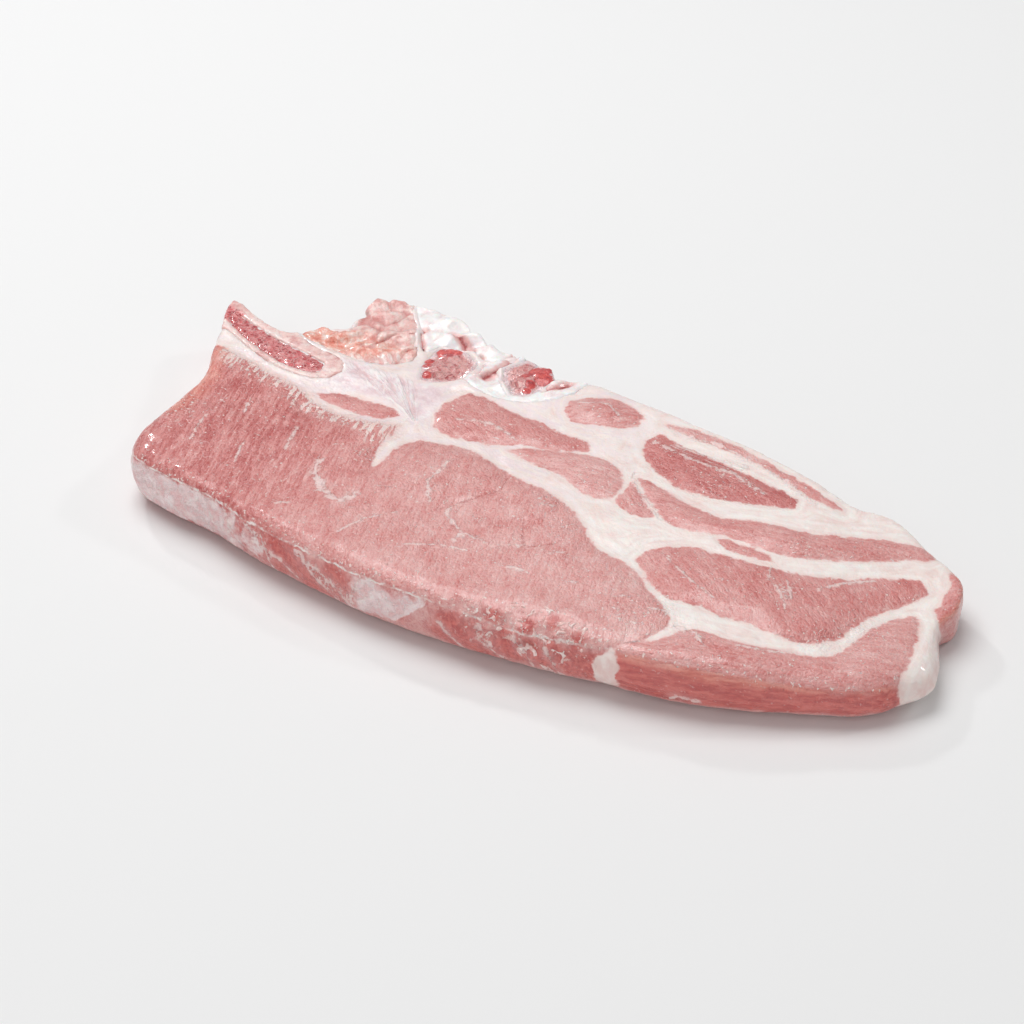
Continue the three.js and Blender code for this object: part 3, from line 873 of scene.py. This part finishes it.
    height = fibre["Height"] * (lean_share * sure_lean)
    height += cloud * 0.3
    height += noise_value(point, 0.9, 2.0) * 0.16
    height += pale * 0.12
    height += wrinkles[0] * 0.14
    ripple = noise_value(point, 1.3, 2.0, 0.6) * glinty
    height += ripple * between(fringe, 0.05, 0.4, 0.4, 0.1)
    height += rays * (web_share * stranded * 0.25)
    height += fat_fleck_and_glint * 0.12
    roughness = between(noise_value(point, 0.25, 3.0), 0.35, 0.65, 0.46, 0.3) - glinty * 0.1
    finish_wet(shader, colour, height, roughness)
    return material


flesh_mesh.materials.clear()
flesh_mesh.materials.append(flesh_material())
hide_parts(*flesh_nodes)
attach(flesh, "root")


# Rib
# The end of a sawn rib, open on both cut faces: a thin wall of hard ivory bone round dark
# red spongy marrow. It lies bedded in the gristle above the loin, as it grew there.
marrow_colours = [(0.2, (242, 158, 158)), (0.5, (224, 104, 108)), (0.75, (186, 54, 64))]
ivory_colours = [(0.34, (222, 162, 158)), (0.48, (238, 200, 195)), (0.64, (248, 226, 221))]
inlay_voxel = 0.00045
tallest_mm = cad_box[1][2] * 1000 + 0.35


def inlaid_piece(name, node, voxel, swell=0.00014):
    """A fine piece over a bedded solid, with its points and normals in millimetres."""
    piece = fine_skin(name, merged_copy([node], swell), voxel)
    places = neighbour_mean(piece.data, points_mm(piece.data)[0], 4)
    places[:, 2] = np.maximum(places[:, 2], 0)
    put_points(piece.data, places)
    piece.data.materials.clear()
    return piece, *points_mm(piece.data)


def settle(piece, places, directions, relief):
    """Raise or sink the points along their normals, with the resting face left flat."""
    moved = places + directions * relief[:, None]
    flat = places[:, 2] < resting_height_mm
    moved[:, 2] = np.where(flat, places[:, 2], np.clip(moved[:, 2], 0, tallest_mm))
    put_points(piece.data, moved)


def spongy_bone_group():
    """Cells of spongy bone, with pale walls and blood between them."""
    tree, (point, scale) = new_group(
        "spongy bone", [("Point", "NodeSocketVector"), ("Cells per mm", "NodeSocketFloat")]
    )
    edges, shades = cell_values(bent(point, 0.8, point), scale)
    cloud = noise_value(point, 0.5, 3.0, 0.6)
    hollows = between(edges, 0.0, 0.35, 1.0, 0.0) * 0.3
    results = {
        "Walls": between(edges, 0.02, 0.22, 1.0, 0.0) * between(cloud, 0.35, 0.6, 0.25, 1.0),
        "Blood": shades * 0.5 + cloud * 0.6,
        "Height": hollows + noise_value(point, 1.6, 3.0, 0.6) * 0.35,
    }
    return finish_group(tree, results)


def marrow_colour(spongy):
    """Red marrow between paler walls of spongy bone."""
    red = colour_ramp(spongy["Blood"], marrow_colours)
    walls = spongy["Walls"] * 0.55
    return mix_colour(walls, red, (248, 204, 200))


spongy_bone = spongy_bone_group()

rib, places, directions = inlaid_piece("rib_wall", "rib_bone", inlay_voxel)
share = smooth_step(0.3, 0.8, np.abs(directions[:, 2]))
relief = 0.16 * lumps(places, 6.0, seed=11) + 0.08 * lumps(places, 1.6, seed=12)
settle(rib, places, directions, relief + 0.12 * share)
from_axis = np.abs(places[:, 1] - 20.0 + 0.21 * (places[:, 0] + 108))
sawn_end = smooth_step(-101.5, -103.5, places[:, 0]) * smooth_step(3.4, 2.2, from_axis)
keep_values(rib.data, "sawn_end", sawn_end)
material, tree, shader = wet_material("ivory bone", scatter=0.25)
point = millimetres(tree)
cloud = noise_value(point, 0.35, 4.0, 0.6)
colour = colour_ramp(cloud, ivory_colours)
pores = between(noise_value(point, 2.2, 2.0), 0.62, 0.72)
colour = mix_colour(pores * 0.5, colour, (202, 120, 118))
spongy = place_group(tree, spongy_bone, {"Point": point, "Cells per mm": 0.95})
colour = mix_colour(stored(tree, "sawn_end"), colour, marrow_colour(spongy))
height = pores * -0.1 + cloud * 0.3
height += noise_value(point, 1.2, 3.0) * 0.2
finish_wet(shader, colour, height)
rib.data.materials.append(material)
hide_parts("rib_bone")
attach(rib, "root")

marrow, places, directions = inlaid_piece("marrow", "rib_marrow", inlay_voxel, 0.0004)
raised = 0.95 * smooth_step(0.2, 0.7, directions[:, 2])
at_tip = 1.1 * smooth_step(-103.5, -105.5, places[:, 0]) * smooth_step(0.1, 0.7, directions[:, 1])
settle(marrow, places, directions, 0.28 * lumps(places, 1.5, seed=13) - 0.1 + raised + at_tip)
material, tree, shader = wet_material("marrow", scatter=0.15, coat=0.6)
point = millimetres(tree)
spongy = place_group(tree, spongy_bone, {"Point": point, "Cells per mm": 0.95})
finish_wet(shader, marrow_colour(spongy), spongy["Height"])
marrow.data.materials.append(material)
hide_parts("rib_marrow")
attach(marrow, "root")


# Chine bones
# Two sawn stumps of the backbone: spongy pink bone inside a thin pale rim, stained with
# blood. They are set in the knobby gristle along the back edge.
backbone_colours = [(0.2, (240, 184, 180)), (0.5, (229, 158, 156)), (0.75, (206, 112, 114))]
stain_colours = [(0.35, (226, 92, 84)), (0.5, (206, 62, 62)), (0.66, (164, 34, 44))]
backbones = [
    {
        "name": "backbone_left",
        "node": "chine_bone_left",
        "blood": [
            (-47.6, 35.6, 3.2), (-45.4, 36.6, 2.0), (-48.8, 29.6, 1.6), (-47.6, 27.0, 1.3),
            (-45.0, 23.4, 1.3),
        ],
    },
    {
        "name": "backbone_right",
        "node": "chine_bone_right",
        "blood": [
            (-21.6, 39.6, 3.4), (-18.8, 37.0, 2.6), (-23.8, 36.0, 1.6), (-20.6, 33.6, 1.5),
            (-20.0, 31.2, 1.3),
        ],
    },
]


def chine_bone_material():
    made, tree, shader = wet_material("spongy backbone", scatter=0.2, coat=0.6)
    point = millimetres(tree)
    spongy = place_group(tree, spongy_bone, {"Point": point, "Cells per mm": 0.85})
    colour = colour_ramp(spongy["Blood"], backbone_colours)
    colour = mix_colour(spongy["Walls"] * 0.45, colour, (246, 206, 200))
    waver = noise_value(point, 0.5, 3.0, 0.6) * 1.6 - 0.8
    rim_share = between(stored(tree, "inner") + waver, 0.9, 2.2, 1.0, 0.0)
    colour = mix_colour(rim_share, colour, (240, 212, 214))
    stain = between(stored(tree, "blood") + waver * 0.5, 0.3, 0.62)
    fresh = colour_ramp(noise_value(point, 0.6, 3.0, 0.6), stain_colours)
    colour = mix_colour(stain * 0.94, colour, fresh)
    height = spongy["Height"] * between(stain, 0.0, 1.0, 1.0, 0.35)
    height += noise_value(point, 0.7, 2.0) * 0.3
    finish_wet(shader, colour, height)
    return made


backbone_material = chine_bone_material()
for bone in backbones:
    stump, places, directions = inlaid_piece(bone["name"], bone["node"], inlay_voxel)
    own_lines = plan_lines(bone["node"], 10.0)
    away, within = distance_to_lines(places[:, :2], own_lines)
    stained = np.zeros(len(places))
    for x0, y0, radius in bone["blood"]:
        distance = np.hypot(places[:, 0] - x0, places[:, 1] - y0)
        stained = np.maximum(stained, smooth_step(radius * 1.35, radius * 0.35, distance))
    stained *= smooth_step(2.0, 7.0, places[:, 2])
    relief = 0.4 * lumps(places, 5.0, seed=21) + 0.16 * lumps(places, 1.6, seed=22) * (1 - stained)
    relief += 0.5 * stained * smooth_step(0.2, 0.7, directions[:, 2])
    settle(stump, places, directions, relief)
    keep_values(stump.data, "inner", np.where(within, away, -away))
    keep_values(stump.data, "blood", stained)
    stump.data.materials.append(backbone_material)
    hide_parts(bone["node"])
    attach(stump, "root")


# Chine gristle
# White, smooth and knobby cartilage round the backbone stumps. It is cut through with the
# bone, and blood lies in the crevices between its knobs.
gristle_colours = [(0.3, (236, 214, 215)), (0.43, (248, 238, 237)), (0.6, (253, 250, 248))]
gristle_nodes = ["chine_gristle_left", "chine_gristle_right"]
crevices = [
    [(-52.4, 31.0), (-54.6, 34.0), (-57.8, 37.4), (-58.6, 40.6)],
    [(-31.8, 43.2), (-31.1, 38.6), (-31.0, 34.8), (-32.4, 30.8)],
    [(-38.6, 37.4), (-36.6, 34.0), (-35.2, 31.0)],
    [(-50.6, 42.6), (-46.0, 41.2), (-42.2, 38.4)],
    [(-16.2, 33.4), (-13.4, 35.6), (-12.4, 38.8)],
]


def gristle_material():
    made, tree, shader = wet_material("white gristle", scatter=0.35, coat=0.5)
    point = millimetres(tree)
    cloud = noise_value(point, 0.28, 4.0, 0.6)
    colour = colour_ramp(cloud, gristle_colours)
    waver = noise_value(point, 0.8, 3.0, 0.6) * 1.4 - 0.7
    wide = stored(tree, "crevice") + waver
    colour = mix_colour(between(wide, 0.4, 2.4, 0.75, 0.0), colour, (230, 160, 156))
    colour = mix_colour(between(wide, 0.0, 0.8, 0.9, 0.0), colour, (176, 62, 62))
    height = noise_value(point, 0.4, 2.0) * 0.35
    height += noise_value(point, 1.6, 2.0) * 0.06
    finish_wet(shader, colour, height)
    return made


white_gristle = gristle_material()
for node in gristle_nodes:
    knobs, places, directions = inlaid_piece(
        node.replace("chine_gristle", "knuckle"), node, inlay_voxel
    )
    crevice = nearest_trace(places[:, :2], [(1.0, line) for line in crevices])[1]
    relief = 0.7 * lumps(places, 8.0, 2, seed=31) + 0.15 * lumps(places, 3.0, 2, seed=32)
    relief -= 1.1 * np.exp(-((crevice / 1.0) ** 2)) * smooth_step(3, 8, places[:, 2])
    settle(knobs, places, directions, relief)
    keep_values(knobs.data, "crevice", crevice + 4 * smooth_step(9, 3, places[:, 2]))
    knobs.data.materials.append(white_gristle)
    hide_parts(node)
    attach(knobs, "root")


# Chine trim
# A ragged lump of fat and small muscle left between the rib and the backbone: amber,
# glistening bits at the rib, pink lobes at the top, white strands towards the gristle.
amber_trim_colours = [
    (0.34, (230, 132, 114)), (0.46, (240, 168, 150)), (0.56, (246, 202, 190)),
    (0.66, (252, 230, 222)),
]
pink_trim_colours = [(0.34, (230, 166, 161)), (0.48, (241, 196, 190)), (0.64, (249, 223, 217))]
strand_colours = [(0, (228, 172, 168)), (0.5, (240, 208, 205)), (1, (250, 238, 234))]
trim, places, directions = inlaid_piece("trim", "chine_trim", inlay_voxel)
lower = smooth_step(32, 27, places[:, 1])
relief = 0.8 * lumps(places, 8.0, 2, seed=41) + (0.2 + 0.3 * lower) * lumps(places, 2.4, 2, seed=42)
folds = np.abs(lumps(places, 10.0, 2, seed=43))
relief -= 0.7 * np.exp(-((folds / 0.08) ** 2))
settle(trim, places, directions, relief)
keep_values(trim.data, "fold", folds)
material, tree, shader = wet_material("ragged trim", scatter=0.25, coat=0.6)
point = millimetres(tree)
split = add_node(tree, "ShaderNodeSeparateXYZ", {0: point})
along_y = split["Y"] + (noise_value(point, 0.25, 3.0) * 10.0 - 5.0)
cloud = noise_value(point, 0.42, 4.0, 0.65)
orange = colour_ramp(cloud, amber_trim_colours)
pink = colour_ramp(cloud, pink_trim_colours)
colour = mix_colour(between(along_y, 26.0, 33.0), orange, pink)
across = along_y - split["X"] * 0.55
pale_share = between(across, 54.0, 60.0, 0.85, 0.0)
ray_x = split["X"] - web_corner_mm[0]
ray_y = split["Y"] - web_corner_mm[1]
turn = math_node("ARCTAN2", ray_y, ray_x)
reach = math_node("SQRT", ray_x * ray_x + ray_y * ray_y)
rays = fanned_fibres(turn, reach, 16.0, 3.0)
strand = colour_ramp(rays, strand_colours)
colour = mix_colour(pale_share, colour, strand)
deep = between(stored(tree, "fold"), 0.01, 0.1, 0.6, 0.0)
colour = mix_colour(deep, colour, (206, 104, 98))
height = rays * 0.12 + cloud * 0.5
height += noise_value(point, 1.1, 3.0, 0.6) * 0.5
finish_wet(shader, colour, height)
trim.data.materials.append(material)
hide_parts("chine_trim")
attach(trim, "root")


# Torn shreds
# Wet scraps of fat and membrane on the front rim, where the slice was pulled off rather
# than cut. Frayed strands lie half sunk in the flesh, and thin ones run down the side.
scrap_colours = [(0.34, (232, 176, 170)), (0.5, (244, 208, 202)), (0.64, (252, 236, 231))]
shreds = [
    (1.2, [
        (32.5, -38.2, 15.5), (30.6, -39.4, 15.3), (29.9, -41.3, 14.5), (29.4, -44.0, 12.5),
        (28.7, -45.5, 10.1),
    ]),
    (1.3, [(31.0, -39.3, 15.3), (34.6, -38.4, 15.5), (36.0, -39.2, 15.2)]),
    (1.2, [(37.2, -41.4, 13.8), (38.8, -40.2, 14.3), (40.6, -39.0, 14.8)]),
    (0.9, [(25.3, -41.4, 14.6), (27.4, -39.8, 15.3), (29.2, -40.2, 15.1)]),
    (0.7, [(21.8, -46.5, 10.5), (22.9, -46.4, 10.0), (24.5, -45.9, 11.2), (26.0, -44.7, 12.3)]),
    (0.8, [(32.4, -44.6, 11.0), (32.1, -45.4, 9.0), (32.8, -45.6, 7.4)]),
    (0.6, [(32.8, -44.6, 10.8), (34.1, -44.8, 9.2), (35.4, -44.9, 8.1)]),
    (0.8, [(35.4, -43.2, 12.4), (37.2, -43.2, 11.8), (38.9, -43.5, 10.2)]),
    (0.5, [(35.0, -44.7, 7.4), (36.2, -44.6, 5.2), (37.4, -44.5, 3.2)]),
    (0.5, [(37.7, -43.5, 5.6), (39.0, -43.6, 3.8), (40.4, -43.4, 1.6)]),
    (0.8, [(39.3, -42.5, 12.2), (41.1, -43.2, 9.9), (41.1, -43.8, 7.4)]),
    (0.9, [(41.4, -39.4, 14.6), (43.6, -38.4, 14.8)]),
    (0.6, [(20.4, -44.2, 13.9), (23.0, -43.4, 14.3)]),
    (0.3, [
        (-46.5, -44, 14.0), (-45.1, -44, 12.6), (-39.2, -46, 11.2), (-37.2, -46, 8.0),
        (-34.5, -46, 1.4),
    ]),
    (0.3, [
        (-32.4, -46, 14.4), (-27.6, -47, 11.8), (-15.6, -49, 8.0), (-11.8, -49, 4.4),
        (-9.4, -49, 1.6),
    ]),
    (0.25, [(-29.0, -47, 13.6), (-22.0, -48, 8.2), (-17.0, -49, 4.6), (-13.6, -49, 1.6)]),
    (0.25, [(-52.0, -43, 13.0), (-49.5, -44, 9.5), (-50.5, -44, 5.0), (-47.4, -44, 1.8)]),
]
strands_per_mm = 5.5
crumbs = 90
bead_gap_mm = 0.2
thinnest, thickest = 0.00018, 0.00042
drift_reach = 0.0007
shred_voxel = 0.00022
shred_seed = 21

random = np.random.default_rng(shred_seed)
noise.seed_set(shred_seed)
strands = []
for spread, path in shreds:
    path = np.array(path, float)
    path[:, 1] = np.maximum(path[:, 1], np.interp(path[:, 0], stations, front_edge))
    lengths = np.concatenate([[0], np.cumsum(np.linalg.norm(np.diff(path, axis=0), axis=1))])
    for _ in range(max(1, round(strands_per_mm * spread))):
        first = random.uniform(0, lengths[-1])
        along = np.arange(first, min(lengths[-1], first + random.uniform(0.8, 3.2)), bead_gap_mm)
        strand = np.stack([np.interp(along, lengths, path[:, axis]) for axis in range(3)], axis=1)
        strands.append(strand + spread * random.uniform(-0.9, 0.9, 3))
for _ in range(crumbs):
    near_x = random.uniform(18, 46)
    near_y = np.interp(near_x, stations, front_edge) + random.uniform(0.3, 5)
    heading = random.uniform((-1, -1, -0.5), (1, 1, 0.5))
    along = np.arange(0, random.uniform(0.3, 1.8), bead_gap_mm)[:, None]
    strands.append(np.array([near_x, near_y, random.uniform(9, 15.5)]) + heading * along)

bm = bmesh.new()
for strand in strands:
    thickness = random.uniform(thinnest, thickest)
    for step, place in enumerate(strand):
        _, at, out, _ = flesh.closest_point_on_mesh(Vector(place) / 1000)
        ends = min(1, 0.5 + step * bead_gap_mm, 0.5 + (len(strand) - step) * bead_gap_mm)
        radius = thickness * ends * (1 + 0.4 * noise.noise(at * 1500))
        drift = noise.noise_vector(at * 900) * drift_reach
        drift -= out * max(0, drift.dot(out)) * 0.8
        at = at - out * radius * 0.2 + drift
        at.z = min(at.z, tallest_mm / 1000 - radius)
        bmesh.ops.create_icosphere(bm, subdivisions=1, radius=radius, matrix=Matrix.Translation(at))
torn_tissue = fine_skin("torn_tissue", bm, shred_voxel)
torn_tissue.data.materials.clear()
material, tree, shader = wet_material("torn fat and membrane", scatter=0.0, coat=0.6)
point = millimetres(tree)
cloud = noise_value(point, 0.7, 3.0, 0.6)
colour = colour_ramp(cloud, scrap_colours)
finish_wet(shader, colour, noise_value(point, 1.6, 2.0) * 0.35)
torn_tissue.data.materials.append(material)
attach(torn_tissue, "root")
